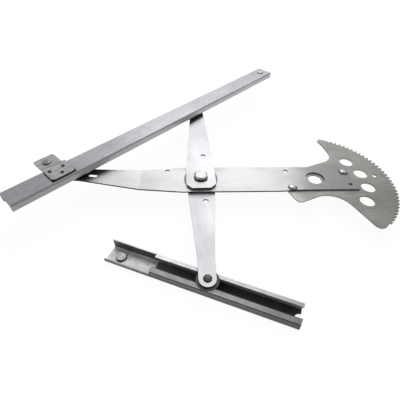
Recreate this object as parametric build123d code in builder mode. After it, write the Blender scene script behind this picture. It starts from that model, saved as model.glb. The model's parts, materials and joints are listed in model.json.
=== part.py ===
from build123d import *
import math
import os

os.makedirs("parts", exist_ok=True)

# Scissor window regulator, lying flat on its guide channel.
# Origin: axis of the hub bore, on the back face of the toothed sector. +Z points to the glass.
# Millimetres and degrees. Angles are seen from +Z, anticlockwise from +X.

# Sheet, clearances and fits
arm_plate = 2.2  # lift arm and both halves of the cross arm
sector_plate = 2.2
bend_radius = 9.0  # outer side of the shallow bends in the arms
spacer_thick = 1.5  # washers between the arms at the scissor pivot
face_gap = 0.3  # between faces that turn or slide on each other
side_gap = 0.35  # between a roller and the channel around it
shaft_gap = 0.05  # radial, a shaft in its hole
rest_gap = 0.02  # between a pressed piece and its seat

# Linkage
arm_angle = 182.3  # from the hub to the glass roller at the arm's end
cross_angle = 93.3  # from the scissor pivot to the upper roller
hub_to_pivot = 159.4
pivot_to_glass = 171.2  # the same on both arms, so the glass channel halves the scissor
pivot_to_guide = 149.4
lift_rise = 10.0  # the lift arm's end steps up to the glass channel
lower_drop = 2.5  # the lower half steps down to the guide channel

# Lift arm
arm_half = 25.0
hub_end_half = 23.0
hub_end_reach = 52.0
taper_start = 185.0
fold_start = 242.0
fold_run = 78.0
glass_end_radius = 10.4
arm_hub_hole = 25.4
arm_hole = 6.2
arm_hole_places = [(38.5, -15.5), (205.8, -17.5)]
dowel_hole = 4.6
dowel_hole_place = (-44.7, 13.1)
slot_length = 11.6
slot_width = 6.0
slot_back = 26.5  # from the glass roller back to the slot

# Cross arm
cross_half = 19.8
cross_tail = 22.0
tail_chamfer = 7.5
upper_end_radius = 10.4
lower_end_radius = 9.6
lower_tab = 25.0  # level tab at the guide roller
cross_shoulder = 14.0
upper_bend_start = 30.0
upper_tab = 16.0
upper_hole_place = (46.4, -5.6)
lower_bend_start = 34.0
lower_hole_place = (39.3, 4.6)
cross_hole = 7.2

# Toothed sector, 12 teeth to the inch of pitch diameter
module = 25.4 / 12
full_circle_teeth = 100
sector_teeth = 32  # spaces cut
lowest_space = -48.6
land_sweep = 30.0  # beyond the last spaces the rim is plain
pressure_angle = 20.0
addendum = 0.8  # stub teeth, of the module
dedendum = 1.0
hub_bore = 19.05
window_bore = 19.05  # lightening holes
window_circle = 70.6
window_count = 4
window_step = 23.7
horn_angle = 73.2  # the horn ends the arc
horn_drop = 7.2  # its tip is this far inside the tooth tips
horn_round = 2.5
horn_lean = 55.0
horn_bend = (34.4, 80.0)
neck_corner = (40.0, 47.3)
neck_radius = 22.0
tail_corners = [(-24.0, 18.5), (-46.5, -16.0), (-32.0, -47.0)]  # under the lift arm
tab_round = 7.5
heel_corner = (22.5, -21.1)
heel_radius = 30.0
toe_lean = -64.5
toe_angle = -58.6
toe_round = 8.0
pin_hole = 7.0
pin_hole_place = (87.5, 10.2)
rivet_places = [(36.6, 17.6), (-43.8, -13.6)]  # on the lift arm
rivet_shank = 6.0
rivet_head = 9.4
rivet_height = 1.9
rivet_flush = 1.2
rivet_edge = 0.9

# Scissor pivot
pivot_shank = 16.0
pivot_neck = 12.0
pivot_crown = 17.4
crown_height = 3.2
crown_edge = 1.2
cap_thick = 1.4
spacer_size = 45.6
square_size = 17.6
square_corner = 3.5
square_thick = 1.4
cap_size = 22.0

# Rollers and their studs
flange_thick = 1.2
disc_thick = 7.6
guide_disc_thick = 3.1
arm_flange = 22.0  # outside the glass channel's lips
guide_flange = 25.4
neck_gap = 1.0
recess_depth = 2.2
stud_shank = 8.0
stud_head = 13.0
stud_head_thick = 1.6
stud_peen = 9.6
stud_peen_height = 1.8
stud_peen_edge = 0.9

# Rolled channels
channel_sheet = 1.4
channel_bend = 2.4
glass_width = 31.4
glass_depth = 11.2
glass_lip = 5.6
glass_left = 83.3  # from the lift arm's roller to the near end
glass_right = 208.8  # from the upper roller to the far end
guide_width = 23.4
guide_depth = 14.0
guide_far_lip = 5.2
guide_near_lip = 5.0  # leans in above the shoulder
guide_shoulder = 5.8
guide_angle = -19.8
guide_left = 119.7
guide_right = 98.1
guide_open = 55.7  # length without lips, where the roller goes in
notch_width = 10.4
notch_depth = 5.8
mount_back = 14.7
mount_head = 12.5
mount_height = 2.6
mount_edge = 0.7
mount_shank = 8.0
mount_bore = 6.0
mount_bore_deep = 3.2
stop_back = 15.8
stop_head = 11.8
stop_height = 1.8
stop_edge = 0.8
stop_shank = 7.0
stop_reach = 3.2

# Glass bracket
bracket_plate = 1.8
bracket_long = 28.0
bracket_ear = 3.6  # longer where it lies on the channel
bracket_middle = -15.3  # along the channel from the lift arm's roller
bracket_overhang = 26.0
bracket_cover = 28.5
bracket_step = -1.2
bracket_corner = 3.0
bracket_chamfer = 3.6
button_place = (-1.4, 29.0)
button_size = 11.0
button_height = 2.0
button_shank = 6.0
button_flush = 1.0
button_edge = 0.9
bracket_rivet_places = [(-8.2, 6.3), (2.4, -5.6), (9.6, 5.4)]
bracket_rivet = 3.2
bracket_rivet_head = 4.8
bracket_rivet_height = 0.9
bracket_rivet_edge = 0.4


def polar(radius, angle, start=(0.0, 0.0)):
    turn = math.radians(angle)
    return (start[0] + radius * math.cos(turn), start[1] + radius * math.sin(turn))


def flat_plane(point, angle, height):
    return Plane(
        origin=(point[0], point[1], height),
        x_dir=(*polar(1, angle), 0),
        z_dir=(0, 0, 1),
    )


def side_plane(point, angle):
    return Plane(
        origin=(point[0], point[1], 0),
        x_dir=(*polar(1, angle), 0),
        z_dir=(*polar(1, angle - 90), 0),
    )


# Pivot points
hub = (0.0, 0.0)
pivot = polar(hub_to_pivot, arm_angle)
lift_end = polar(pivot_to_glass, arm_angle, pivot)
upper_end = polar(pivot_to_glass, cross_angle, pivot)
lower_end = polar(pivot_to_guide, cross_angle + 180, pivot)
glass_angle = (arm_angle + cross_angle) / 2 - 90
arm_reach = hub_to_pivot + pivot_to_glass

# Levels, each the underside of its piece
lift_level = sector_plate
upper_level = lift_level + arm_plate + spacer_thick
lower_level = lift_level - spacer_thick - arm_plate
glass_tab_level = lift_level + lift_rise
guide_tab_level = lower_level - lower_drop
glass_level = glass_tab_level + arm_plate + 2 * face_gap + flange_thick
guide_level = guide_tab_level - 2 * face_gap - flange_thick - guide_depth
glass_top = glass_level + glass_depth


def finish(part, name):
    part.label = name
    export_step(part, f"parts/{name}.step")


def bent_sheet(where, angle, path, outline, thick, bend):
    """Bent sheet: its underside seen from the side, cut to its outline in plan."""
    with BuildPart() as sheet:
        with BuildSketch(side_plane(where, angle)):
            with BuildLine():
                FilletPolyline(*path, radius=bend)
                offset(amount=thick, side=Side.LEFT)
            make_face()
        extrude(amount=2 * arm_half, both=True)
        with BuildSketch(flat_plane(where, angle, guide_level)):
            add(outline)
        extrude(amount=glass_top - guide_level + 2 * thick, mode=Mode.INTERSECT)
    return sheet.part


# Tooth circles
pitch_radius = module * full_circle_teeth / 2
tip_radius = pitch_radius + addendum * module
root_radius = pitch_radius - dedendum * module
base_radius = pitch_radius * math.cos(math.radians(pressure_angle))
tooth_step = 360 / full_circle_teeth

# Lift arm: local x runs from the hub to the glass roller
with BuildSketch() as lift_outline:
    with BuildLine():
        hub_corner = (-hub_end_reach + 9, -hub_end_half)
        Polyline(
            hub_corner,
            (taper_start - hub_to_pivot, -arm_half),
            (taper_start, -arm_half),
            (arm_reach, -glass_end_radius),
            (arm_reach, glass_end_radius),
            (taper_start, arm_half),
            (hub_end_reach, arm_half),
            (hub_end_reach / 2, hub_end_half),
            (-hub_end_reach - 1.5, hub_end_half),
            (-hub_end_reach + 2, -hub_end_half / 2),
            close=True,
        )
    make_face()
    with Locations((arm_reach, 0)):
        Circle(glass_end_radius)

lift_path = [
    (-hub_end_reach - arm_half, lift_level),
    (fold_start, lift_level),
    (fold_start + fold_run, glass_tab_level),
    (arm_reach + arm_half, glass_tab_level),
]

with BuildPart() as lift_arm:
    add(bent_sheet(hub, arm_angle, lift_path, lift_outline.sketch, arm_plate, bend_radius))
    with BuildSketch(flat_plane(hub, arm_angle, lift_level)):
        Circle(arm_hub_hole / 2)
        with Locations((hub_to_pivot, 0)):
            Circle(pivot_shank / 2 + shaft_gap)
        with Locations(*arm_hole_places):
            Circle(arm_hole / 2)
        with Locations(dowel_hole_place):
            Circle(dowel_hole / 2)
        with Locations(*rivet_places):
            Circle(rivet_shank / 2 + rest_gap)
        with Locations((arm_reach - slot_back, 0)):
            SlotOverall(slot_length, slot_width)
        with Locations((arm_reach, 0)):
            Circle(stud_shank / 2 + rest_gap)
    extrude(amount=lift_rise + arm_plate, mode=Mode.SUBTRACT)
finish(lift_arm.part, "lift_arm")


def space_half(radius):
    """Half the angle of the space between two involute teeth, at this radius."""
    slope = math.acos(base_radius / radius)
    start = math.radians(pressure_angle)
    spread = (math.tan(slope) - slope) - (math.tan(start) - start)
    return tooth_step / 4 + math.degrees(spread)


with BuildSketch() as tooth_space:
    with BuildLine():
        levels = (root_radius, pitch_radius, tip_radius + face_gap)
        left = ThreePointArc(*[polar(level, space_half(level)) for level in levels])
        right = ThreePointArc(*[polar(level, -space_half(level)) for level in levels])
        Line(left @ 0, right @ 0)
        Line(left @ 1, right @ 1)
    make_face()

# Toothed sector: the plate lies under the lift arm's hub end
last_space = lowest_space + (sector_teeth - 1) * tooth_step
plain_lands = ((lowest_space - land_sweep, lowest_space), (last_space, last_space + land_sweep))
with BuildSketch() as sector_outline:
    with BuildLine():
        horn_tip = polar(tip_radius - horn_drop, horn_angle)
        horn_side = polar(2 * horn_drop, horn_lean, horn_tip)
        toe_side = polar(2.1 * tip_radius, toe_lean, heel_corner)
        beyond = [polar(1.4 * tip_radius, angle) for angle in (-25, 25)]
        Polyline(horn_tip, horn_bend, neck_corner, *tail_corners, heel_corner, toe_side,
                 *beyond, horn_side, close=True)
    make_face()
    corners = [(horn_bend, 60), (neck_corner, neck_radius), (heel_corner, heel_radius)]
    corners += [(tail_corners[1], 7), (tail_corners[2], tab_round)]
    for corner, radius in corners:
        fillet(sector_outline.vertices().sort_by_distance((*corner, 0))[0], radius)
    Circle(tip_radius, mode=Mode.INTERSECT)
    with BuildSketch(mode=Mode.SUBTRACT):
        for first, last in plain_lands:
            with BuildLine():
                Polyline(hub, polar(2 * tip_radius, first), polar(2 * tip_radius, last), close=True)
            make_face()
        Circle(pitch_radius, mode=Mode.SUBTRACT)
    for angle, radius in ((toe_angle, toe_round), (horn_angle, horn_round)):
        land_end = (*polar(pitch_radius, angle), 0)
        fillet(sector_outline.vertices().sort_by_distance(land_end)[0], radius)
    with PolarLocations(0, sector_teeth, lowest_space, sector_teeth * tooth_step):
        add(tooth_space.sketch, mode=Mode.SUBTRACT)
    Circle(hub_bore / 2, mode=Mode.SUBTRACT)
    spread = window_step * (window_count - 1)
    with PolarLocations(window_circle, window_count, -spread / 2, window_count * window_step):
        Circle(window_bore / 2, mode=Mode.SUBTRACT)
    with Locations(pin_hole_place):
        Circle(pin_hole / 2, mode=Mode.SUBTRACT)

with BuildPart() as sector_gear:
    add(sector_outline.sketch)
    extrude(amount=sector_plate)
    with BuildSketch(flat_plane(hub, arm_angle, 0)):
        with Locations(*rivet_places):
            Circle(rivet_shank / 2 + rest_gap)
    extrude(amount=sector_plate, mode=Mode.SUBTRACT)
finish(sector_gear.part, "sector_gear")


def pins(point, angle, places, shank, span, low_head, high_head):
    """Upright pins between two levels, with a head beyond either end: (diameter, height, chamfer)."""
    with BuildPart() as pin:
        with BuildSketch(flat_plane(point, angle, span[0])):
            with Locations(*places):
                Circle(shank / 2)
        extrude(amount=span[1] - span[0])
        for level, head, way in ((span[0], low_head, -1), (span[1], high_head, 1)):
            if head:
                size, height, edge = head
                with BuildSketch(flat_plane(point, angle, level)):
                    with Locations(*places):
                        Circle(size / 2)
                extrude(amount=way * height)
                if edge:
                    rims = pin.edges().group_by(Axis.Z)
                    chamfer(rims[-1] if way > 0 else rims[0], edge)
    return pin.part


rivet_span = (0, lift_level + arm_plate)
rivet_heads = ((rivet_head, rivet_flush, 0), (rivet_head, rivet_height, rivet_edge))
sector_rivets = pins(hub, arm_angle, rivet_places, rivet_shank, rivet_span, *rivet_heads)
finish(sector_rivets, "sector_rivets")

# Cross arm, upper half: local x runs from the scissor pivot to the upper roller
with BuildSketch() as upper_outline:
    with BuildLine():
        Polyline(
            (-cross_tail, -cross_half + tail_chamfer),
            (-cross_tail + tail_chamfer, -cross_half),
            (cross_shoulder, -cross_half),
            (pivot_to_glass, -upper_end_radius),
            (pivot_to_glass, upper_end_radius),
            (cross_shoulder, cross_half),
            (-cross_tail + tail_chamfer, cross_half),
            (-cross_tail, cross_half - tail_chamfer),
            close=True,
        )
    make_face()
    with Locations((pivot_to_glass, 0)):
        Circle(upper_end_radius)

upper_path = [
    (-cross_tail - arm_half, upper_level),
    (upper_bend_start, upper_level),
    (pivot_to_glass - upper_tab, glass_tab_level),
    (pivot_to_glass + arm_half, glass_tab_level),
]

with BuildPart() as cross_arm_upper:
    add(bent_sheet(pivot, cross_angle, upper_path, upper_outline.sketch, arm_plate, bend_radius))
    with BuildSketch(flat_plane(pivot, cross_angle, upper_level)):
        Circle(pivot_neck / 2 + rest_gap)
        with Locations(upper_hole_place):
            Circle(cross_hole / 2)
        with Locations((pivot_to_glass, 0)):
            Circle(stud_shank / 2 + rest_gap)
    extrude(amount=glass_tab_level - upper_level + arm_plate, mode=Mode.SUBTRACT)
finish(cross_arm_upper.part, "cross_arm_upper")

# Cross arm, lower half: local x runs from the scissor pivot to the guide roller
with BuildSketch() as lower_outline:
    with BuildLine():
        Polyline(
            (-cross_tail + tail_chamfer, -cross_half),
            (0, -cross_half),
            (pivot_to_guide - lower_tab, -lower_end_radius),
            (pivot_to_guide, -lower_end_radius),
            (pivot_to_guide, lower_end_radius),
            (pivot_to_guide - lower_tab, lower_end_radius),
            (0, cross_half),
            (-cross_tail + tail_chamfer, cross_half),
            (-cross_tail, cross_half - tail_chamfer),
            (-cross_tail, -cross_half + tail_chamfer),
            close=True,
        )
    make_face()
    with Locations((pivot_to_guide, 0)):
        Circle(lower_end_radius)

lower_path = [
    (-cross_tail - arm_half, lower_level),
    (lower_bend_start, lower_level),
    (pivot_to_guide - lower_tab, guide_tab_level),
    (pivot_to_guide + arm_half, guide_tab_level),
]

with BuildPart() as cross_arm_lower:
    lower_angle = cross_angle + 180
    add(bent_sheet(pivot, lower_angle, lower_path, lower_outline.sketch, arm_plate, bend_radius))
    with BuildSketch(flat_plane(pivot, lower_angle, guide_tab_level)):
        Circle(pivot_neck / 2 + rest_gap)
        with Locations(lower_hole_place):
            Circle(cross_hole / 2)
        with Locations((pivot_to_guide, 0)):
            Circle(stud_shank / 2 + rest_gap)
    extrude(amount=lower_level - guide_tab_level + arm_plate, mode=Mode.SUBTRACT)
finish(cross_arm_lower.part, "cross_arm_lower")

# Scissor pivot: the stud clamps both halves and turns in the lift arm
square_level = upper_level + arm_plate
cap_level = lower_level - cap_thick

with BuildPart() as pivot_stud:
    pivot_span = (cap_level, square_level + square_thick)
    crowns = ((pivot_crown, crown_height, crown_edge), (pivot_crown, crown_height, crown_edge))
    add(pins(pivot, 0, [(0, 0)], pivot_neck, pivot_span, *crowns))
    with BuildSketch(flat_plane(pivot, 0, lower_level + arm_plate)):
        Circle(pivot_shank / 2)
    extrude(amount=upper_level - lower_level - arm_plate)
finish(pivot_stud.part, "pivot_stud")

with BuildPart() as pivot_square:
    with BuildSketch(flat_plane(pivot, arm_angle, square_level)):
        RectangleRounded(square_size, square_size, square_corner)
        Circle(pivot_neck / 2 + rest_gap, mode=Mode.SUBTRACT)
    extrude(amount=square_thick)
finish(pivot_square.part, "pivot_square")

with BuildPart() as pivot_cap:
    with BuildSketch(flat_plane(pivot, 0, cap_level)):
        Circle(cap_size / 2)
        Circle(pivot_neck / 2 + rest_gap, mode=Mode.SUBTRACT)
    extrude(amount=cap_thick)
finish(pivot_cap.part, "pivot_cap")


def spacer(level):
    with BuildPart() as washer:
        with BuildSketch(flat_plane(pivot, 0, level)):
            Circle(spacer_size / 2)
            Circle(pivot_shank / 2 + rest_gap, mode=Mode.SUBTRACT)
        extrude(amount=spacer_thick - face_gap)
    return washer.part


finish(spacer(lift_level + arm_plate + face_gap), "upper_spacer")
finish(spacer(lower_level + arm_plate), "lower_spacer")


def spool(point, seat, way, neck_top, disc, neck_size, flange_size):
    """A roller: a flange on its seat, a neck between the lips, a disc inside the channel."""
    disc_size, thick = disc
    top = neck_top + thick
    with BuildPart() as roller:
        with BuildSketch(flat_plane(point, 0, seat + way * neck_top)):
            Circle(disc_size / 2)
        extrude(amount=way * thick)
        with BuildSketch(flat_plane(point, 0, seat)):
            Circle(neck_size / 2)
        extrude(amount=way * neck_top)
        with BuildSketch(flat_plane(point, 0, seat)):
            Circle(flange_size / 2)
        extrude(amount=way * flange_thick)
        with BuildSketch(flat_plane(point, 0, seat)):
            Circle(stud_shank / 2 + shaft_gap)
        extrude(amount=way * top, mode=Mode.SUBTRACT)
        with BuildSketch(flat_plane(point, 0, seat + way * (top - recess_depth))):
            Circle(stud_head / 2 + face_gap)
        extrude(amount=way * recess_depth, mode=Mode.SUBTRACT)
    return roller.part


def roller_stud(point, tab, way, reach):
    """Riveted through its tab, with the head down in the roller's recess."""
    face = tab + arm_plate if way > 0 else tab
    back = tab if way > 0 else tab + arm_plate
    under_head = face + way * (reach - recess_depth + 2 * face_gap)
    peen = (stud_peen, stud_peen_height, stud_peen_edge)
    head = (stud_head, stud_head_thick, 0)
    if way > 0:
        return pins(point, 0, [(0, 0)], stud_shank, (back, under_head), peen, head)
    return pins(point, 0, [(0, 0)], stud_shank, (under_head, back), head, peen)


# Rollers: two in the glass channel, one in the guide channel
glass_seat = glass_tab_level + arm_plate + face_gap
glass_disc = (glass_width - 2 * channel_sheet - 2 * side_gap, disc_thick)
glass_neck = glass_width - 2 * glass_lip - 2 * neck_gap
glass_neck_top = flange_thick + 2 * face_gap + channel_sheet
glass_reach = glass_neck_top + disc_thick
guide_seat = guide_tab_level - face_gap
guide_disc = (guide_width - 2 * channel_sheet - 2 * side_gap, guide_disc_thick)
guide_neck = guide_width - 2 * (guide_near_lip + channel_sheet) - neck_gap
guide_reach = flange_thick + guide_depth - channel_sheet
guide_neck_top = guide_reach - guide_disc_thick

for tip, where in (("lift_end", lift_end), ("upper_end", upper_end)):
    roller = spool(where, glass_seat, 1, glass_neck_top, glass_disc, glass_neck, arm_flange)
    finish(roller, f"{tip}_roller")
roller = spool(lower_end, guide_seat, -1, guide_neck_top, guide_disc, guide_neck, guide_flange)
finish(roller, "guide_roller")

finish(roller_stud(lift_end, glass_tab_level, 1, glass_reach), "lift_end_stud")
upper_stud = roller_stud(upper_end, glass_tab_level, 1, glass_reach)
guide_stud = roller_stud(lower_end, guide_tab_level, -1, guide_reach)
finish(Compound(children=[upper_stud, guide_stud]), "cross_arm_studs")


def section_plane(point, angle, along, level):
    start = polar(along, angle, point)
    return Plane(
        origin=(*start, level),
        x_dir=(*polar(1, angle + 90), 0),
        z_dir=(*polar(1, angle), 0),
    )


def rolled(where, outer, length):
    """A rolled channel run: the outer side of its section, given the sheet inwards."""
    with BuildPart() as run:
        with BuildSketch(where):
            with BuildLine():
                FilletPolyline(*outer, radius=channel_bend)
                offset(amount=channel_sheet, side=Side.LEFT)
            make_face()
        extrude(amount=length)
    return run.part


# Glass channel, open side down; the glass bracket and the stop are riveted to its web
glass_half = glass_width / 2
glass_outer = [
    (-glass_half + glass_lip, 0),
    (-glass_half, 0),
    (-glass_half, glass_depth),
    (glass_half, glass_depth),
    (glass_half, 0),
    (glass_half - glass_lip, 0),
]
glass_run = glass_left + 2 * pivot_to_glass * math.sin(math.radians(arm_angle - cross_angle) / 2)
glass_length = glass_run + glass_right
glass_start = section_plane(lift_end, glass_angle, -glass_left, glass_level)
glass_outer_down = glass_outer[::-1]
web_rivets = [(bracket_middle + x, y) for x, y in bracket_rivet_places]
stop_place = (glass_length - glass_left - stop_back, 0)

with BuildPart() as glass_channel:
    add(rolled(glass_start, glass_outer_down, glass_length))
    with BuildSketch(flat_plane(lift_end, glass_angle, glass_top - channel_sheet)):
        with Locations(*web_rivets):
            Circle(bracket_rivet / 2 + rest_gap)
        with Locations(stop_place):
            Circle(stop_shank / 2 + rest_gap)
    extrude(amount=channel_sheet, mode=Mode.SUBTRACT)
finish(glass_channel.part, "glass_channel")

stop_span = (glass_top - channel_sheet, glass_top)
stop_heads = ((stop_head, stop_reach, 0), (stop_head, stop_height, stop_edge))
finish(pins(lift_end, glass_angle, [stop_place], stop_shank, stop_span, *stop_heads), "channel_stop")

# Glass bracket: one half on the channel, the other raised beyond its far side
bracket_near = glass_half - bracket_cover
bracket_far = glass_half + bracket_overhang
bracket_path = [
    (bracket_near - bracket_corner, glass_top),
    (glass_half + face_gap, glass_top),
    (glass_half + face_gap - 2 * bracket_step, glass_top + bracket_step),
    (bracket_far + bracket_corner, glass_top + bracket_step),
]
bracket_centre = polar(bracket_middle, glass_angle, lift_end)

with BuildSketch() as bracket_outline:
    with Locations(((bracket_near + bracket_far) / 2, 0)):
        Rectangle(bracket_cover + bracket_overhang, bracket_long)
    with Locations(((bracket_near + glass_half) / 2, -bracket_long / 2)):
        Rectangle(glass_half - bracket_near, 2 * bracket_ear)
    chamfer(bracket_outline.vertices().group_by(Axis.X)[0], bracket_chamfer)
    fillet(bracket_outline.vertices().group_by(Axis.X)[-1], bracket_corner)

with BuildPart() as glass_bracket:
    across = glass_angle + 90
    add(bent_sheet(bracket_centre, across, bracket_path, bracket_outline.sketch,
                   bracket_plate, bracket_plate))
    with BuildSketch(flat_plane(bracket_centre, glass_angle, glass_top + bracket_step)):
        with Locations(*bracket_rivet_places):
            Circle(bracket_rivet / 2 + rest_gap)
        with Locations(button_place):
            Circle(button_shank / 2 + rest_gap)
    extrude(amount=bracket_plate - bracket_step, mode=Mode.SUBTRACT)
finish(glass_bracket.part, "glass_bracket")

web_span = (glass_top - channel_sheet, glass_top + bracket_plate)
web_head = (bracket_rivet_head, bracket_rivet_height, bracket_rivet_edge)
bracket_rivets = pins(lift_end, glass_angle, web_rivets, bracket_rivet, web_span, None, web_head)
finish(bracket_rivets, "bracket_rivets")

overhang_span = (glass_top + bracket_step, glass_top + bracket_step + bracket_plate)
button_heads = ((button_size, button_flush, 0), (button_size, button_height, button_edge))
button = pins(bracket_centre, glass_angle, [button_place], button_shank, overhang_span, *button_heads)
finish(button, "bracket_button")

# Guide channel, open side up, with a plain mouth at its near end
guide_half = guide_width / 2
guide_mouth = [
    (-guide_half, guide_shoulder),
    (-guide_half, 0),
    (guide_half, 0),
    (guide_half, guide_depth),
]
guide_lips = [
    (-guide_half + guide_near_lip, guide_depth),
    *guide_mouth,
    (guide_half - guide_far_lip, guide_depth),
]
guide_start = section_plane(lower_end, guide_angle, -guide_left, guide_level)
guide_lipped = section_plane(lower_end, guide_angle, guide_open - guide_left, guide_level)

with BuildPart() as guide_channel:
    add(rolled(guide_start, guide_mouth, guide_open))
    add(rolled(guide_lipped, guide_lips, guide_left + guide_right - guide_open))
    with BuildSketch(flat_plane(lower_end, guide_angle, guide_level)):
        with Locations((guide_right - notch_depth + notch_width / 2, 0)):
            Circle(notch_width / 2)
            Rectangle(notch_depth, notch_width, align=(Align.MIN, Align.CENTER))
        with Locations((mount_back - guide_left, 0)):
            Circle(mount_shank / 2 + rest_gap)
    extrude(amount=channel_sheet, mode=Mode.SUBTRACT)
finish(guide_channel.part, "guide_channel")

# Captive nut, pressed into the guide channel's web and threaded from below
with BuildPart() as guide_nut:
    nut_span = (guide_level, guide_level + channel_sheet)
    nut_head = (mount_head, mount_height, mount_edge)
    nut_places = [(mount_back - guide_left, 0)]
    add(pins(lower_end, guide_angle, nut_places, mount_shank, nut_span, None, nut_head))
    with BuildSketch(flat_plane(lower_end, guide_angle, guide_level)):
        with Locations(*nut_places):
            Circle(mount_bore / 2)
    extrude(amount=mount_bore_deep, mode=Mode.SUBTRACT)
finish(guide_nut.part, "guide_nut")
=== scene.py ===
import json
import math

import bmesh
import bpy
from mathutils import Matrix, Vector

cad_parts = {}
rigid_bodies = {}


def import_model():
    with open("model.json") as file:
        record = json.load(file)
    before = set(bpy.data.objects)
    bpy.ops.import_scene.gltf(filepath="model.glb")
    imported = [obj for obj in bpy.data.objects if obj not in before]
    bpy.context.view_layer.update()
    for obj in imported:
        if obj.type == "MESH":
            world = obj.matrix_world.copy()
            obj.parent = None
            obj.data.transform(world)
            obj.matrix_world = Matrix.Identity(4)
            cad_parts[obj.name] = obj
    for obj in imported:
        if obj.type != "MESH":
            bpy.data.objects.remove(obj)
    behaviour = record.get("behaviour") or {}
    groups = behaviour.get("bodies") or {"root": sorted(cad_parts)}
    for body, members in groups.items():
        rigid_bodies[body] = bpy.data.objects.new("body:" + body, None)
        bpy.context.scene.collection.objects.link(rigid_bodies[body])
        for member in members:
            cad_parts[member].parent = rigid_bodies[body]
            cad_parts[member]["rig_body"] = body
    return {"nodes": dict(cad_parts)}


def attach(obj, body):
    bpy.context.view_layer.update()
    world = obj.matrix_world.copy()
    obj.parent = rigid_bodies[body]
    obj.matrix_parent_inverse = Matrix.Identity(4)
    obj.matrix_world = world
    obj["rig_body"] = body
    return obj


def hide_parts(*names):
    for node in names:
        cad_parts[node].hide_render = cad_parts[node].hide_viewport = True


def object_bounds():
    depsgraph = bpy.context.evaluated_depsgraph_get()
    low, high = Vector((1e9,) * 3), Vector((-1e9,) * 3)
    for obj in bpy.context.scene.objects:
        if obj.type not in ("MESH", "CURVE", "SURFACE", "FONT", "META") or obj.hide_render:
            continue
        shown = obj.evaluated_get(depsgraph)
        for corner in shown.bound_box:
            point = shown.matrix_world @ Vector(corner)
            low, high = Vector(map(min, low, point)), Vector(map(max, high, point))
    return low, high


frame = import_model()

cadLow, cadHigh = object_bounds()
mm = 0.001
cadNodes = frame["nodes"]
print("frame loaded,", len(cadNodes), "nodes")

# how every mesh is made, in millimetres and degrees
meshing = {
    "merge": 0.002, "flatAngle": 0.6, "cornerAngle": 28, "cornerSteps": 2, "sheetSharp": 35,
    "headSteps": 48, "headCornerSteps": 5, "headSharp": 30,
}


def mergedCopy(node):
    # a solid's loose triangles, joined where their corners meet
    work = bmesh.new()
    work.from_mesh(cadNodes[node].data)
    bmesh.ops.remove_doubles(work, verts=work.verts, dist=meshing["merge"] * mm)
    return work


def solidBoxes(node):
    # lowest and highest corner of each separate solid in a node, left to right
    work = mergedCopy(node)
    left = set(work.verts)
    boxes = []
    while left:
        group, reached = set(), [left.pop()]
        while reached:
            vert = reached.pop()
            group.add(vert)
            for edge in vert.link_edges:
                other = edge.other_vert(vert)
                if other in left:
                    left.discard(other)
                    reached.append(other)
        low = Vector([min(v.co[i] for v in group) for i in range(3)])
        high = Vector([max(v.co[i] for v in group) for i in range(3)])
        boxes.append((low, high))
    work.free()
    return sorted(boxes, key=lambda box: box[0].x)


def addNode(tree, kind, **values):
    node = tree.nodes.new(kind)
    for name, value in values.items():
        setattr(node, name, value)
    return node


def setInputs(node, **values):
    for name, value in values.items():
        node.inputs[name.replace("_", " ")].default_value = value


def feed(tree, socket, value):
    # a socket takes a link, a plain colour or a plain number
    if isinstance(value, bpy.types.NodeSocket):
        tree.links.new(value, socket)
    elif isinstance(value, tuple):
        socket.default_value = (*value, 1)
    else:
        socket.default_value = value


def rampBetween(tree, source, low, high, start, end):
    # maps source from low..high to start..end, smoothly
    node = addNode(tree, "ShaderNodeMapRange", interpolation_type="SMOOTHSTEP")
    setInputs(node, From_Min=low, From_Max=high, To_Min=start, To_Max=end)
    tree.links.new(source, node.inputs["Value"])
    return node.outputs["Result"]


def mixColours(tree, factor, first, second):
    node = addNode(tree, "ShaderNodeMix", data_type="RGBA")
    # a Mix node's own sockets for its factor, its two colours and its result
    for number, value in ((0, factor), (6, first), (7, second)):
        feed(tree, node.inputs[number], value)
    return node.outputs[2]


def combine(tree, operation, first, second):
    node = addNode(tree, "ShaderNodeMath", operation=operation)
    feed(tree, node.inputs[0], first)
    feed(tree, node.inputs[1], second)
    return node.outputs[0]


def multiply(tree, first, second):
    return combine(tree, "MULTIPLY", first, second)


def add(tree, first, second):
    return combine(tree, "ADD", first, second)


def noiseOn(tree, place, scale, detail, rough):
    node = addNode(tree, "ShaderNodeTexNoise")
    setInputs(node, Scale=scale, Detail=detail, Roughness=rough)
    tree.links.new(place, node.inputs["Vector"])
    return node.outputs["Fac"]


def objectPlace(tree):
    return addNode(tree, "ShaderNodeTexCoord").outputs["Object"]


def placeAlong(tree, angle, stretch=1, offset=(0, 0, 0)):
    # object coordinates turned to lie along a piece and stretched that way
    turn = addNode(tree, "ShaderNodeMapping", vector_type="POINT")
    turn.inputs["Rotation"].default_value = (0, 0, math.radians(-angle))
    turn.inputs["Location"].default_value = offset
    squeeze = addNode(tree, "ShaderNodeMapping", vector_type="POINT")
    squeeze.inputs["Scale"].default_value = (stretch, 1, 1)
    tree.links.new(objectPlace(tree), turn.inputs["Vector"])
    tree.links.new(turn.outputs["Vector"], squeeze.inputs["Vector"])
    return squeeze.outputs["Vector"]


def splitAxes(tree, vector):
    split = addNode(tree, "ShaderNodeSeparateXYZ")
    tree.links.new(vector, split.inputs["Vector"])
    return split.outputs


def newSurface(name, finish):
    material = bpy.data.materials.new(name)
    material.use_nodes = True
    tree = material.node_tree
    tree.nodes.clear()
    output = addNode(tree, "ShaderNodeOutputMaterial")
    shader = addNode(tree, "ShaderNodeBsdfPrincipled")
    shader.inputs["Metallic"].default_value = finish["metallic"]
    tree.links.new(shader.outputs["BSDF"], output.inputs["Surface"])
    return material, tree, shader


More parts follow.
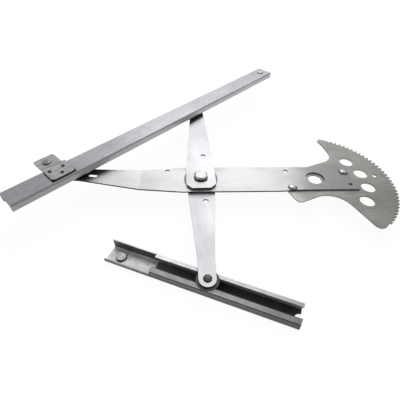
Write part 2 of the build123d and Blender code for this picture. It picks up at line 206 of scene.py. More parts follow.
def dress(tree, shader, colour, rough, height, strength):
    # colour, roughness and fine relief go to the shader
    tree.links.new(colour, shader.inputs["Base Color"])
    tree.links.new(rough, shader.inputs["Roughness"])
    bump = addNode(tree, "ShaderNodeBump")
    setInputs(bump, Strength=strength, Distance=0.1 * mm)
    tree.links.new(height, bump.inputs["Height"])
    tree.links.new(bump.outputs["Normal"], shader.inputs["Normal"])


# the marks on rolled sheet: how each is drawn out along it, turned and moved,
# and the noise levels that it fades between
sheetMarks = {
    "grain": {
        "stretch": 0.03, "turn": 0, "offset": (0, 0, 0),
        "detail": 4, "rough": 0.6, "fade": (0.35, 0.65),
    },
    "cloud": {
        "stretch": 0.6, "turn": 0, "offset": (0.31, 0.17, 0),
        "detail": 4, "rough": 0.55, "fade": (0.36, 0.66),
    },
    "mottle": {
        "stretch": 0.6, "turn": 0, "offset": (0.31, 0.17, 0),
        "detail": 2, "rough": 0.5, "fade": (0.42, 0.62),
    },
    "scratch": {
        "stretch": 0.015, "turn": 7, "offset": (0.7, 0.4, 0),
        "detail": 1, "rough": 0.4, "fade": (0.66, 0.72),
    },
}
# how the sheet wears, with its painted highlight on worn corners and its painted shadow rings: noise
# levels, shares and relief; the ring's blur is in millimetres
sheetWearAndShade = {
    "scratchScale": 0.45, "unevenEnd": 0.5,
    "cornerFrom": (0.3, 0.5), "cornerTo": (0.9, 0.98), "wearFade": (0.35, 0.6), "wearSpared": 0.4,
    "roughFade": (0.3, 0.7), "grainHeight": 0.6, "mottleHeight": 0.8, "scratchHeight": -0.5,
    "ringShadowDepth": 0.93, "ringBlur": 0.9, "ringShadowColour": (0.012, 0.012, 0.012),
}


def sheetNoise(tree, mark, finish, scale):
    shape = sheetMarks[mark]
    place = placeAlong(tree, finish["grainAngle"] + shape["turn"], shape["stretch"], shape["offset"])
    return noiseOn(tree, place, scale, shape["detail"], shape["rough"])


def paintedLightShadeRamp(tree, colour, cloud, dull):
    # painted shade darkens the sheet unevenly towards one end; at the sector's toe it paints the sheet
    # lighter
    start, end = dull["from"] * mm, dull["to"] * mm
    along = splitAxes(tree, placeAlong(tree, dull["angle"]))["X"]
    uneven = multiply(tree, add(tree, cloud, -0.5), (end - start) * sheetWearAndShade["unevenEnd"])
    share = rampBetween(tree, add(tree, along, uneven), start, end, 0, dull["depth"])
    return mixColours(tree, share, colour, dull["colour"])


def paintedShadePatch(tree, colour, patch):
    # painted shade: a dark band where an edge, a bend or a crease shades the sheet
    axes = splitAxes(tree, placeAlong(tree, patch["angle"]))
    blur = patch["blur"] * mm
    share = patch["depth"]
    for axis, reach in (("X", "along"), ("Y", "across"), ("Z", "height")):
        low, high = (limit * mm for limit in patch[reach])
        share = multiply(tree, rampBetween(tree, axes[axis], low, low + blur, 0, 1), share)
        share = multiply(tree, rampBetween(tree, axes[axis], high - blur, high, 1, 0), share)
    return mixColours(tree, share, colour, patch["colour"])


def paintedShadowRings(tree, colour, ring):
    # painted shadow: a dark ring on the sheet around each head seated on it, moved to show more in front
    radius, blur = ring["radius"] * mm, sheetWearAndShade["ringBlur"] * mm
    for low, high in solidBoxes(ring["node"]):
        middle = (low + high).xy / 2 + Vector(ring["shift"]) * mm
        flat = addNode(tree, "ShaderNodeVectorMath", operation="MULTIPLY")
        flat.inputs[1].default_value = (1, 1, 0)
        tree.links.new(objectPlace(tree), flat.inputs[0])
        away = addNode(tree, "ShaderNodeVectorMath", operation="DISTANCE")
        away.inputs[1].default_value = (*middle, 0)
        tree.links.new(flat.outputs["Vector"], away.inputs[0])
        share = rampBetween(tree, away.outputs["Value"], radius, radius + blur, sheetWearAndShade["ringShadowDepth"], 0)
        colour = mixColours(tree, share, colour, sheetWearAndShade["ringShadowColour"])
    return colour


def rolledSteel(name, finish):
    # plated or galvanised sheet: rolling grain, cloudy plating, fine scratches, and painted light and shade
    # on its sheared edges and other upright faces, towards its ends, in bands and round its heads
    material, tree, shader = newSurface(name, finish)
    grain = sheetNoise(tree, "grain", finish, finish["grainScale"])
    cloud = sheetNoise(tree, "cloud", finish, finish["cloudScale"])
    mottle = sheetNoise(tree, "mottle", finish, finish["mottleScale"])
    scratch = sheetNoise(tree, "scratch", finish, finish["grainScale"] * sheetWearAndShade["scratchScale"])
    cloudShare = rampBetween(tree, cloud, *sheetMarks["cloud"]["fade"], 0, 1)
    grainShare = rampBetween(tree, grain, *sheetMarks["grain"]["fade"], finish["grainDepth"], 0)
    mottleShare = rampBetween(tree, mottle, *sheetMarks["mottle"]["fade"], 0, finish["mottleDepth"])
    scratchShare = rampBetween(tree, scratch, *sheetMarks["scratch"]["fade"], 0, finish["scratchDepth"])
    facing = addNode(tree, "ShaderNodeNewGeometry").outputs["True Normal"]
    upright = addNode(tree, "ShaderNodeMath", operation="ABSOLUTE")
    tree.links.new(splitAxes(tree, facing)["Z"], upright.inputs[0])
    level = upright.outputs[0]
    # painted light and shade: upright faces, such as cut edges and flanges, take their own lighter or
    # darker colour
    paintedUprightShare = rampBetween(tree, level, finish["paintedUprightFrom"], finish["paintedUprightTo"], finish["paintedUprightDepth"], 0)
    colour = finish["colour"]
    tints = ((cloudShare, "cloudColour"), (grainShare, "grainColour"), (mottleShare, "grainColour"),
             (scratchShare, "scratchColour"), (paintedUprightShare, "paintedUprightColour"))
    for share, tint in tints:
        colour = mixColours(tree, share, colour, finish[tint])
    for dull in finish["lightShadeRamps"]:
        colour = paintedLightShadeRamp(tree, colour, cloud, dull)
    for patch in finish["shadePatches"]:
        colour = paintedShadePatch(tree, colour, patch)
    for ring in finish["shadowRings"]:
        colour = paintedShadowRings(tree, colour, ring)
    # worn corners between a face and its cut edge, lightened partly as wear and partly as a painted
    # highlight
    corner = multiply(tree, rampBetween(tree, level, *sheetWearAndShade["cornerFrom"], 0, 1),
                      rampBetween(tree, level, *sheetWearAndShade["cornerTo"], 1, 0))
    wearHighlight = rampBetween(tree, mottle, *sheetWearAndShade["wearFade"], finish["wearHighlightDepth"],
                       finish["wearHighlightDepth"] * sheetWearAndShade["wearSpared"])
    colour = mixColours(tree, multiply(tree, corner, wearHighlight), colour, finish["wearHighlightColour"])
    rough = rampBetween(tree, cloud, *sheetWearAndShade["roughFade"], finish["roughness"] - finish["roughSpread"],
                        finish["roughness"] + finish["roughSpread"])
    rough = add(tree, rough, multiply(tree, grain, finish["roughSpread"]))
    height = add(tree, multiply(tree, grain, sheetWearAndShade["grainHeight"]),
                 multiply(tree, mottle, sheetWearAndShade["mottleHeight"]))
    height = add(tree, height, multiply(tree, scratchShare, sheetWearAndShade["scratchHeight"]))
    dress(tree, shader, colour, rough, height, finish["bump"])
    return material


# the soft clouds and specks on headed parts, and how far their roughness strays
headMarks = {
    "cloudDetail": 3, "cloudRough": 0.6, "cloudFade": (0.35, 0.7),
    "speckDetail": 2, "speckRough": 0.5, "speckFade": (0.58, 0.7), "speckHeight": 0.5,
    "roughFade": (0.3, 0.7), "smoother": 0.06, "rougher": 0.08,
}


def turnedSteel(name, finish):
    # small headed parts: cold-formed, with soft clouds and specks
    material, tree, shader = newSurface(name, finish)
    place = objectPlace(tree)
    cloud = noiseOn(tree, place, finish["cloudScale"], headMarks["cloudDetail"], headMarks["cloudRough"])
    speck = noiseOn(tree, place, finish["speckScale"], headMarks["speckDetail"], headMarks["speckRough"])
    cloudShare = rampBetween(tree, cloud, *headMarks["cloudFade"], 0, 1)
    speckShare = rampBetween(tree, speck, *headMarks["speckFade"], 0, finish["speckDepth"])
    colour = mixColours(tree, cloudShare, finish["colour"], finish["cloudColour"])
    colour = mixColours(tree, speckShare, colour, finish["speckColour"])
    rough = rampBetween(tree, cloud, *headMarks["roughFade"], finish["roughness"] - headMarks["smoother"],
                        finish["roughness"] + headMarks["rougher"])
    height = add(tree, cloud, multiply(tree, speck, headMarks["speckHeight"]))
    dress(tree, shader, colour, rough, height, finish["bump"])
    return material


# the way each piece runs, in degrees from the X axis
liftAngle = 182.3
crossAngle = 93.3
glassAngle = 47.8
guideAngle = -19.8
acrossGlass = glassAngle + 90
backAlongGlass = glassAngle + 180

# painted light and shade ramps and painted shade patches lie along their angle, in millimetres from the
# hub's axis;
# painted shadow rings go round the heads of a node, moved by their shift
zincPlate = {
    "metallic": 0.6, "roughness": 0.38, "roughSpread": 0.06, "bump": 0.25,
    "colour": (0.41, 0.41, 0.415), "cloudColour": (0.37, 0.37, 0.375), "cloudScale": 22,
    "grainColour": (0.33, 0.33, 0.34), "grainScale": 1500, "grainDepth": 0.25, "grainAngle": liftAngle,
    "mottleScale": 240, "mottleDepth": 0.10, "scratchDepth": 0.3, "scratchColour": (0.62, 0.62, 0.63),
    "paintedUprightFrom": 0.3, "paintedUprightTo": 0.7, "paintedUprightDepth": 0.98, "paintedUprightColour": (0.012, 0.012, 0.012),
    "wearHighlightDepth": 0.2, "wearHighlightColour": (0.85, 0.85, 0.86),
    # painted shade: the lift arm greyer at its hub end and near black at its far end beside the glass
    # channel
    "lightShadeRamps": [{"angle": 0, "from": -48, "to": -4, "depth": 0.9, "colour": (0.17, 0.17, 0.165)},
              {"angle": 180, "from": 276, "to": 320, "depth": 0.5, "colour": (0.12, 0.12, 0.12)},
              {"angle": acrossGlass, "from": 206, "to": 217, "depth": 0.95, "colour": (0.01, 0.01, 0.01)}],
    "shadePatches": [],
    "shadowRings": [{"node": "sector_rivets", "radius": 6.0, "shift": (0, -1.5)}],
}
crossZinc = dict(
    zincPlate, grainAngle=crossAngle, colour=(0.47, 0.465, 0.485), cloudColour=(0.435, 0.43, 0.45),
    # painted shadow: the cross arm near black beside the glass channel and below the lift arm, and a shadow
    # ring round the pivot stud
    lightShadeRamps=[{"angle": acrossGlass, "from": 211.5, "to": 215.5, "depth": 0.95,
            "colour": (0.015, 0.015, 0.015)}],
    shadePatches=[{"angle": liftAngle, "along": (120, 200), "across": (23.5, 27.8), "height": (-10, 0),
              "blur": 0.8, "depth": 0.92, "colour": (0.008, 0.008, 0.008)}],
    shadowRings=[{"node": "pivot_stud", "radius": 9.2, "shift": (0, -1.4)}],
)
gearSteel = dict(
    zincPlate, roughness=0.5, colour=(0.29, 0.288, 0.275), cloudColour=(0.245, 0.243, 0.232),
    grainColour=(0.15, 0.148, 0.14), mottleDepth=0.3, paintedUprightDepth=0.3, paintedUprightColour=(0.35, 0.345, 0.33),
    scratchColour=(0.5, 0.49, 0.47), wearHighlightDepth=0.35, wearHighlightColour=(0.55, 0.54, 0.51),
    # painted shade darkens the sector towards its lower right and painted light lightens its toe and its
    # upright rim
    lightShadeRamps=[{"angle": -35, "from": 20, "to": 125, "depth": 0.5, "colour": (0.13, 0.129, 0.12)},
           {"angle": 215, "from": 34, "to": 56, "depth": 0.6, "colour": (0.5, 0.495, 0.48)}],
    shadowRings=[],
)
# the glass channel has painted shadow beside the bracket, painted shade along its bend and towards one end,
# and painted light on its upright flanges
channelSteel = dict(
    zincPlate, roughness=0.42, colour=(0.37, 0.37, 0.40), cloudColour=(0.325, 0.325, 0.352),
    grainColour=(0.22, 0.22, 0.235), grainAngle=glassAngle, mottleDepth=0.3, wearHighlightDepth=0.0,
    scratchColour=(0.55, 0.55, 0.58), paintedUprightDepth=0.35, paintedUprightColour=(0.72, 0.73, 0.73),
    lightShadeRamps=[{"angle": backAlongGlass, "from": 205, "to": 250, "depth": 0.45, "colour": (0.18, 0.18, 0.185)}],
    shadePatches=[{"angle": glassAngle, "along": (-262.8, -229), "across": (221.3, 245), "height": (20, 40),
              "blur": 0.7, "depth": 0.96, "colour": (0.008, 0.008, 0.008)},
             {"angle": glassAngle, "along": (-400, 400), "across": (215, 221.8), "height": (24.3, 26.3),
              "blur": 0.5, "depth": 0.6, "colour": (0.11, 0.11, 0.115)}],
    shadowRings=[{"node": "channel_stop", "radius": 6.0, "shift": (0.2, -0.4)}],
)
# painted shade on the guide: a dark crease line along its outside with a darker band below it for the
# folded side, dark upright faces, and darker towards one end
outside = {"angle": guideAngle, "along": (-250, 100), "across": (-240, -206.2), "blur": 0.2}
guideSteel = dict(
    channelSteel, grainAngle=guideAngle, colour=(0.57, 0.57, 0.58), cloudColour=(0.51, 0.51, 0.52),
    paintedUprightDepth=0.95, paintedUprightColour=(0.07, 0.07, 0.067), paintedUprightFrom=0.25, paintedUprightTo=0.48,
    lightShadeRamps=[{"angle": guideAngle, "from": -70, "to": 30, "depth": 0.5, "colour": (0.16, 0.16, 0.16)}],
    shadePatches=[dict(outside, height=(-30, -10.8), depth=0.72, colour=(0.075, 0.076, 0.077)),
             dict(outside, height=(-11.7, -10.5), depth=0.85, colour=(0.015, 0.015, 0.015))],
    shadowRings=[{"node": "guide_nut", "radius": 6.3, "shift": (0.25, -0.5)}],
)
# near-black painted shade for the insides of the channels
insideShadeSteel = dict(
    channelSteel, metallic=0.2, roughness=0.6, colour=(0.022, 0.022, 0.024),
    cloudColour=(0.04, 0.04, 0.042), grainColour=(0.015, 0.015, 0.015), scratchColour=(0.1, 0.1, 0.1),
)
# painted shade: the bracket's upright edges black, a dark line along one edge and a shadow ring round the
# button
bracketSteel = dict(
    channelSteel, colour=(0.38, 0.38, 0.385), cloudColour=(0.28, 0.28, 0.284), mottleScale=180,
    mottleDepth=0.6, paintedUprightDepth=0.98, paintedUprightColour=(0.012, 0.012, 0.012), paintedUprightFrom=0.5, paintedUprightTo=0.95, lightShadeRamps=[],
    shadePatches=[{"angle": glassAngle, "along": (-270, -220), "across": (251.1, 252.5), "height": (20, 40),
              "blur": 0.4, "depth": 0.6, "colour": (0.05, 0.05, 0.05)}],
    shadowRings=[{"node": "bracket_button", "radius": 5.5, "shift": (0.25, -0.45)}],
)
rivetZinc = {
    "metallic": 0.8, "roughness": 0.32, "bump": 0.3,
    "colour": (0.42, 0.42, 0.425), "cloudColour": (0.34, 0.34, 0.345), "cloudScale": 300,
    "speckColour": (0.3, 0.3, 0.31), "speckScale": 1500, "speckDepth": 0.4,
}
# near black for studs and rivets, and painted shade where it covers the pivot square
darkStudSteel = dict(rivetZinc, colour=(0.065, 0.058, 0.054), cloudColour=(0.035, 0.031, 0.029))
washerSteel = dict(rivetZinc, colour=(0.11, 0.11, 0.112), cloudColour=(0.07, 0.07, 0.072))
nutSteel = dict(rivetZinc, colour=(0.3, 0.3, 0.305), cloudColour=(0.25, 0.25, 0.255))
dullSteel = dict(rivetZinc, colour=(0.21, 0.21, 0.212), cloudColour=(0.16, 0.16, 0.162))
rollerPlastic = dict(
    rivetZinc, metallic=0.0, roughness=0.45, colour=(0.018, 0.018, 0.02),
    cloudColour=(0.028, 0.028, 0.03), speckColour=(0.05, 0.05, 0.05),
)

sheetFinishes = {
    "lift zinc": zincPlate, "cross zinc": crossZinc, "gear steel": gearSteel,
    "glass channel steel": channelSteel, "guide channel steel": guideSteel,
    "bracket steel": bracketSteel, "channel inside shade": insideShadeSteel,
}
headFinishes = {
    "rivet zinc": rivetZinc, "dark stud": darkStudSteel, "washer steel": washerSteel,
    "nut steel": nutSteel, "dull button": dullSteel, "roller plastic": rollerPlastic,
}
finishes = {name: rolledSteel(name, finish) for name, finish in sheetFinishes.items()}
finishes.update({name: turnedSteel(name, finish) for name, finish in headFinishes.items()})
print("materials made")


def easeEdges(work, edges, width, steps):
    bmesh.ops.bevel(work, geom=edges, offset=width * mm, offset_type="OFFSET", segments=steps,
                    profile=0.5, affect="EDGES", clamp_overlap=True, material=-1)


def finishPiece(work, name, node, finish, sharp):
    mesh = bpy.data.meshes.new(name)
    for face in work.faces:
        face.smooth = True
    work.to_mesh(mesh)
    work.free()
    mesh.set_sharp_from_angle(angle=math.radians(sharp))
    mesh.materials.append(finishes[finish])
    piece = bpy.data.objects.new(name, mesh)
    bpy.context.scene.collection.objects.link(piece)
    weighted = piece.modifiers.new("flat faces", "WEIGHTED_NORMAL")
    weighted.keep_sharp = True
    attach(piece, cadNodes[node]["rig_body"])
    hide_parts(node)
    return piece


# where each channel is painted dark inside as shade: its line, the side it opens to, the level of its web,
# half the width between its walls and the stretch that the rollers use
runs = {
    "glass_channel": {
        "angle": glassAngle, "centre": (-330.33, -13.27), "open": -1, "web": 26.0, "half": 15.7,
        "ends": (-200.0, 900.0),
    },
    "guide_channel": {
        "angle": guideAngle, "centre": (-150.67, -155.55), "open": 1, "web": -18.4, "half": 11.7,
        "ends": (-62.0, 300.0),
    },
}
insideShade = {"upright": 0.97, "webReach": 0.3, "lipTilt": 0.2, "lipReach": 3.0, "cutReach": 0.0001}


def shadeChannelInside(work, run):
    # faces that look into the channel take the near-black finish, painted shade inside it
    turn = math.radians(run["angle"])
    ahead = Vector((math.cos(turn), math.sin(turn), 0))
    side = Vector((-ahead.y, ahead.x, 0))
    centre = Vector((*run["centre"], 0)) * mm
    for end in run["ends"]:
        cut = centre + ahead * end * mm
        bmesh.ops.bisect_plane(work, geom=work.verts[:] + work.edges[:] + work.faces[:],
                               dist=insideShade["cutReach"] * mm, plane_co=cut, plane_no=ahead)
    for face in work.faces:
        middle = face.calc_center_median()
        along = (middle - centre).dot(ahead) / mm
        across = (middle - centre).dot(side) / mm
        fromWeb = abs(middle.z / mm - run["web"])
        opening = face.normal.z * run["open"]
        looksIn = face.normal.dot(side) * across < 0 and abs(opening) < insideShade["upright"]
        onWeb = opening > insideShade["upright"] and fromWeb < insideShade["webReach"]
        overWeb = fromWeb > insideShade["lipReach"] and abs(across) < run["half"]
        underLip = opening < -insideShade["lipTilt"] and overWeb
        if run["ends"][0] < along < run["ends"][1] and (looksIn or onWeb or underLip):
            face.material_index = 1


def softEdged(name, node, finish, width):
    # a stamped or moulded piece: the solid's own shape with its corners eased
    work = mergedCopy(node)
    bmesh.ops.dissolve_limit(work, angle_limit=math.radians(meshing["flatAngle"]), verts=work.verts,
                             edges=work.edges)
    if node in runs:
        shadeChannelInside(work, runs[node])
    corner = math.radians(meshing["cornerAngle"])
    corners = [e for e in work.edges if len(e.link_faces) == 2 and e.calc_face_angle() > corner]
    easeEdges(work, corners, width, meshing["cornerSteps"])
    piece = finishPiece(work, name, node, finish, meshing["sheetSharp"])
    if node in runs:
        piece.data.materials.append(finishes["channel inside shade"])


# name: node, finish, width of its eased corners in millimetres
plates = {
    "liftArm": ("lift_arm", "lift zinc", 0.3),
    "crossArmUpper": ("cross_arm_upper", "cross zinc", 0.3),
    "crossArmLower": ("cross_arm_lower", "cross zinc", 0.3),
    "sectorGear": ("sector_gear", "gear steel", 0.12),
    "glassChannel": ("glass_channel", "glass channel steel", 0.2),
    "guideChannel": ("guide_channel", "guide channel steel", 0.2),
    "glassBracket": ("glass_bracket", "bracket steel", 0.25),
    # the pivot square is near black all over: painted shade under the pivot head
    "pivotSquare": ("pivot_square", "dark stud", 0.25),
    "pivotCap": ("pivot_cap", "rivet zinc", 0.25),
    "upperSpacer": ("upper_spacer", "washer steel", 0.15),
    "lowerSpacer": ("lower_spacer", "washer steel", 0.15),
    "liftEndRoller": ("lift_end_roller", "roller plastic", 0.35),
    "upperEndRoller": ("upper_end_roller", "roller plastic", 0.35),
    "guideRoller": ("guide_roller", "roller plastic", 0.35),
}
for name, (node, finish, width) in plates.items():
    softEdged(name, node, finish, width)
print("plates and rollers made")


def onCorner(vert, radius, height):
    near = 0.001 * mm
    return abs(vert.co.z - height * mm) < near and abs(vert.co.xy.length - radius * mm) < near


def turned(work, profile, centre):
    # spins a profile of (radius, height, rounding) corners about an upright axis, in millimetres
    part = bmesh.new()
    verts = [part.verts.new((radius * mm, 0, height * mm)) for radius, height, _ in profile]
    edges = [part.edges.new(pair) for pair in zip(verts, verts[1:])]
    bmesh.ops.spin(part, geom=verts + edges, cent=(0, 0, 0), axis=(0, 0, 1), dvec=(0, 0, 0),
                   angle=2 * math.pi, steps=meshing["headSteps"], use_merge=True, use_normal_flip=False,
                   use_duplicate=False)
    bmesh.ops.remove_doubles(part, verts=part.verts, dist=meshing["merge"] * mm)
    for radius, height, rounding in profile:
        if rounding:
            ring = [e for e in part.edges if all(onCorner(v, radius, height) for v in e.verts)]
            easeEdges(part, ring, rounding, meshing["headCornerSteps"])
    bmesh.ops.recalc_face_normals(part, faces=part.faces)
    bmesh.ops.translate(part, verts=part.verts, vec=(centre.x, centre.y, 0))
    mesh = bpy.data.meshes.new("turned")
    part.to_mesh(mesh)
    part.free()
    work.from_mesh(mesh)
    bpy.data.meshes.remove(mesh)


def headedPins(name, node, finish, profileOf):
    # a turned pin in the place of each solid of a node
    work = bmesh.new()
    for low, high in solidBoxes(node):
        turned(work, profileOf(low.z / mm, high.z / mm), (low + high) / 2)
    finishPiece(work, name, node, finish, meshing["headSharp"])


domeShape = {"rim": 0.25, "steps": 6}


def dome(radius, base, top):
    # a rounded head: a short upright rim, then an even curve up to the middle
    rimTop = base + domeShape["rim"]
    profile = [(radius, base, 0), (radius, rimTop, 0)]
    for step in range(1, domeShape["steps"]):
        turn = math.radians(90 * step / domeShape["steps"])
        profile.append((radius * math.cos(turn), rimTop + (top - rimTop) * math.sin(turn), 0))
    return [*profile, (0, top, 0)]


def footAndShank(size, bottom, base):
    # a riveted pin's foot and its shank, up to the base of its head
    foot = bottom + size["foot"]
    return [(0, bottom, 0), (size["radius"], bottom, size["footRound"]), (size["radius"], foot, 0),
            (size["shank"], foot, 0), (size["shank"], base, 0)]


def flatHead(size, base, top):
    # a flat-topped head with a slight draft and a rounded edge
    return [(size["radius"], base, size["baseRound"]),
            (size["radius"] - size["draft"], top, size["headRound"]), (0, top, 0)]


sectorRivet = {"radius": 4.6, "shank": 3.0, "foot": 1.2, "height": 1.9, "footRound": 0.4}


def sectorRivetProfile(bottom, top):
    base = top - sectorRivet["height"]
    return footAndShank(sectorRivet, bottom, base) + dome(sectorRivet["radius"], base, top)


headedPins("sectorRivets", "sector_rivets", "rivet zinc", sectorRivetProfile)

bracketRivet = {
    "radius": 2.4, "shank": 1.6, "height": 0.9, "baseRound": 0.1, "draft": 0.1, "headRound": 0.4,
    "hollow": 0.95, "hollowRound": 0.2, "hollowDepth": 0.7, "hollowFloor": 0.75, "floorRound": 0.1,
}


def bracketRivetProfile(bottom, top):
    # a hollow-headed rivet
    size = bracketRivet
    base, floor = top - size["height"], top - size["hollowDepth"]
    headSide = flatHead(size, base, top)[:2]
    return [(0, bottom, 0), (size["shank"], bottom, 0), (size["shank"], base, 0), *headSide,
            (size["hollow"], top, size["hollowRound"]), (size["hollowFloor"], floor, size["floorRound"]),
            (0, floor, 0)]


headedPins("bracketRivets", "bracket_rivets", "dark stud", bracketRivetProfile)

button = {
    "radius": 5.5, "shank": 3.0, "foot": 1.0, "height": 2.0, "footRound": 0.3, "baseRound": 0.15,
    "shoulder": 5.2, "shoulderDrop": 0.5, "crown": 3.1, "headRound": 0.8,
}


def buttonProfile(bottom, top):
    size = button
    base = top - size["height"]
    return [*footAndShank(size, bottom, base), (size["radius"], base, size["baseRound"]),
            (size["shoulder"], top - size["shoulderDrop"], size["headRound"]),
            (size["crown"], top, size["headRound"]), (0, top, 0)]


headedPins("bracketButton", "bracket_button", "dull button", buttonProfile)

stop = {
    "radius": 5.9, "shank": 3.5, "foot": 3.2, "height": 1.8, "footRound": 0.4, "baseRound": 0.15,
    "draft": 0.2, "headRound": 0.7,
}


def stopProfile(bottom, top):
    base = top - stop["height"]
    return footAndShank(stop, bottom, base) + flatHead(stop, base, top)


headedPins("channelStop", "channel_stop", "rivet zinc", stopProfile)

pivotStud = {
    "crown": 8.7, "neck": 6.0, "shank": 8.0, "height": 3.2, "shoulderLow": 0.7, "shoulderHigh": 5.9,
    "foot": 7.5, "footRise": 1.2, "footRound": 0.5, "baseRound": 0.2, "rimDrop": 1.5, "rimRound": 0.9,
    "flat": 7.1, "flatDrop": 0.15,
}


def pivotProfile(bottom, top):
    # a head at both ends and a wider shoulder between the arms
    size = pivotStud
    base = top - size["height"]
    return [(0, bottom, 0), (size["foot"], bottom, 0),
            (size["crown"], bottom + size["footRise"], size["footRound"]),
            (size["crown"], bottom + size["height"], 0), (size["neck"], bottom + size["height"], 0),
            (size["neck"], size["shoulderLow"], 0), (size["shank"], size["shoulderLow"], 0),
            (size["shank"], size["shoulderHigh"], 0), (size["neck"], size["shoulderHigh"], 0),
            (size["neck"], base, 0), (size["crown"], base, size["baseRound"]),
            (size["crown"], top - size["rimDrop"], size["rimRound"]),
            (size["flat"], top - size["flatDrop"], size["rimRound"]), (0, top, 0)]


headedPins("pivotStud", "pivot_stud", "rivet zinc", pivotProfile)

nut = {
    "radius": 6.25, "shank": 4.0, "height": 2.6, "bore": 3.0, "boreDepth": 3.2, "baseRound": 0.15,
    "draft": 0.1, "headRound": 0.6,
}


def nutProfile(bottom, top):
    base, boreEnd = top - nut["height"], bottom + nut["boreDepth"]
    return [(0, boreEnd, 0), (nut["bore"], boreEnd, 0), (nut["bore"], bottom, 0), (nut["shank"], bottom, 0),
            (nut["shank"], base, 0), *flatHead(nut, base, top)]


headedPins("guideNut", "guide_nut", "nut steel", nutProfile)

# a stud that reaches below the guide level holds the guide roller, and its head is at the bottom
rollerStud = {
    "peen": 4.8, "peenHeight": 1.8, "shank": 4.0, "head": 6.5, "headThick": 1.6, "headRound": 0.3,
    "guideLevel": -10,
}


def studProfile(bottom, top):
    # the wide head sits in the roller, the domed peen on the arm
    size = rollerStud
    length = top - bottom
    peenBase = length - size["peenHeight"]
    corners = [(0, 0, 0), (size["head"], 0, size["headRound"]), (size["head"], size["headThick"], 0),
               (size["shank"], size["headThick"], 0), (size["shank"], peenBase, 0),
               *dome(size["peen"], peenBase, length)]
    if bottom < size["guideLevel"]:
        return [(radius, bottom + height, rounding) for radius, height, rounding in corners]
    return [(radius, top - height, rounding) for radius, height, rounding in corners]


headedPins("liftEndStud", "lift_end_stud", "dark stud", studProfile)
headedPins("crossArmStuds", "cross_arm_studs", "dark stud", studProfile)
print("pins made")


# places and lengths here are in metres; the dark side is a direction in which gloss sees less light
studio = {
    "middle": (-0.16, 0.0, 0.0),
    "floorDrop": 0.0002, "floorReach": 3.0, "floorColour": (0.92, 0.92, 0.92),
    "floorShine": 1.03, "floorGlow": 0.91, "worldColour": (1.0, 1.0, 1.0), "worldFill": 0.55,
    "darkSide": (0.05, -0.72, 0.65), "darkFrom": 0.55, "darkTo": 0.9, "darkDepth": 0.85,
}
lamps = {
    "overhead panel": {"place": (-0.05, 0.85, 0.95), "size": 1.1, "power": 9.0},
    "front panel": {"place": (0.25, -0.9, 0.75), "size": 0.8, "power": 0.6},
}
view = {
    "place": (-0.16046, -0.31318, 0.26941), "turn": (45.088, -0.799, 0.679),
    "lens": 26.48, "sensor": 36.0, "nearest": 0.01,
}


def seenRays(tree):
    # 1 for rays from the camera, from gloss and through clear things
    path = addNode(tree, "ShaderNodeLightPath")
    total = add(tree, path.outputs["Is Camera Ray"], path.outputs["Is Glossy Ray"])
    total = add(tree, total, path.outputs["Is Transmission Ray"])
    total.node.use_clamp = True
    return total


def paleFloor():
    # matt where light falls on it, nearly white where it is seen
    material = bpy.data.materials.new("pale floor")
    material.use_nodes = True
    tree = material.node_tree
    tree.nodes.clear()
    output = addNode(tree, "ShaderNodeOutputMaterial")
    matt = addNode(tree, "ShaderNodeBsdfDiffuse")
    feed(tree, matt.inputs["Color"], studio["floorColour"])
    glow = addNode(tree, "ShaderNodeEmission")
    feed(tree, glow.inputs["Strength"], studio["floorShine"])
    both = addNode(tree, "ShaderNodeMixShader")
    share = multiply(tree, seenRays(tree), studio["floorGlow"])
    for socket, source in zip(both.inputs, (share, matt.outputs[0], glow.outputs[0])):
        tree.links.new(source, socket)
    tree.links.new(both.outputs[0], output.inputs["Surface"])
    return material


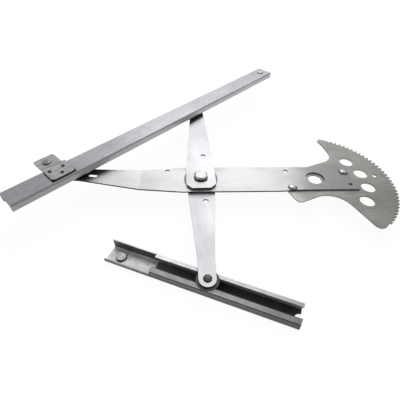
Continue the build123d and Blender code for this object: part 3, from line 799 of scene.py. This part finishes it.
def layFloor():
    middle = Vector(studio["middle"])
    work = bmesh.new()
    bmesh.ops.create_grid(work, x_segments=1, y_segments=1, size=studio["floorReach"])
    bmesh.ops.translate(work, verts=work.verts, vec=(middle.x, middle.y, cadLow.z - studio["floorDrop"]))
    mesh = bpy.data.meshes.new("floor")
    work.to_mesh(mesh)
    work.free()
    mesh.materials.append(paleFloor())
    floor = bpy.data.objects.new("floor", mesh)
    bpy.context.scene.collection.objects.link(floor)


def fillWorld():
    # an even white world, dimmer for the light that it sheds on the object
    world = bpy.data.worlds.new("studio")
    bpy.context.scene.world = world
    world.use_nodes = True
    tree = world.node_tree
    tree.nodes.clear()
    output = addNode(tree, "ShaderNodeOutputWorld")
    sky = addNode(tree, "ShaderNodeBackground")
    feed(tree, sky.inputs["Color"], studio["worldColour"])
    level = add(tree, multiply(tree, seenRays(tree), 1 - studio["worldFill"]), studio["worldFill"])
    # metal facing the front mirrors the unlit side of the studio
    front = addNode(tree, "ShaderNodeVectorMath", operation="DOT_PRODUCT")
    front.inputs[1].default_value = Vector(studio["darkSide"]).normalized()
    tree.links.new(addNode(tree, "ShaderNodeTexCoord").outputs["Generated"], front.inputs[0])
    unlit = rampBetween(tree, front.outputs["Value"], studio["darkFrom"], studio["darkTo"],
                        0, -studio["darkDepth"])
    gloss = addNode(tree, "ShaderNodeLightPath").outputs["Is Glossy Ray"]
    feed(tree, sky.inputs["Strength"], add(tree, level, multiply(tree, gloss, unlit)))
    tree.links.new(sky.outputs[0], output.inputs["Surface"])


def hangLamp(name, lamp):
    light = bpy.data.lights.new(name, "AREA")
    light.size = lamp["size"]
    light.energy = lamp["power"]
    holder = bpy.data.objects.new(name, light)
    holder.location = lamp["place"]
    aim = Vector(studio["middle"]) - Vector(lamp["place"])
    holder.rotation_euler = aim.to_track_quat("-Z", "Y").to_euler()
    bpy.context.scene.collection.objects.link(holder)


def placeCamera():
    data = bpy.data.cameras.new("camera")
    data.sensor_width = view["sensor"]
    data.lens = view["lens"]
    data.clip_start = view["nearest"]
    camera = bpy.data.objects.new("camera", data)
    camera.location = view["place"]
    camera.rotation_euler = [math.radians(angle) for angle in view["turn"]]
    bpy.context.scene.collection.objects.link(camera)
    bpy.context.scene.camera = camera


layFloor()
fillWorld()
for name, lamp in lamps.items():
    hangLamp(name, lamp)
placeCamera()
bpy.context.scene.view_settings.view_transform = "Standard"
print("studio made")
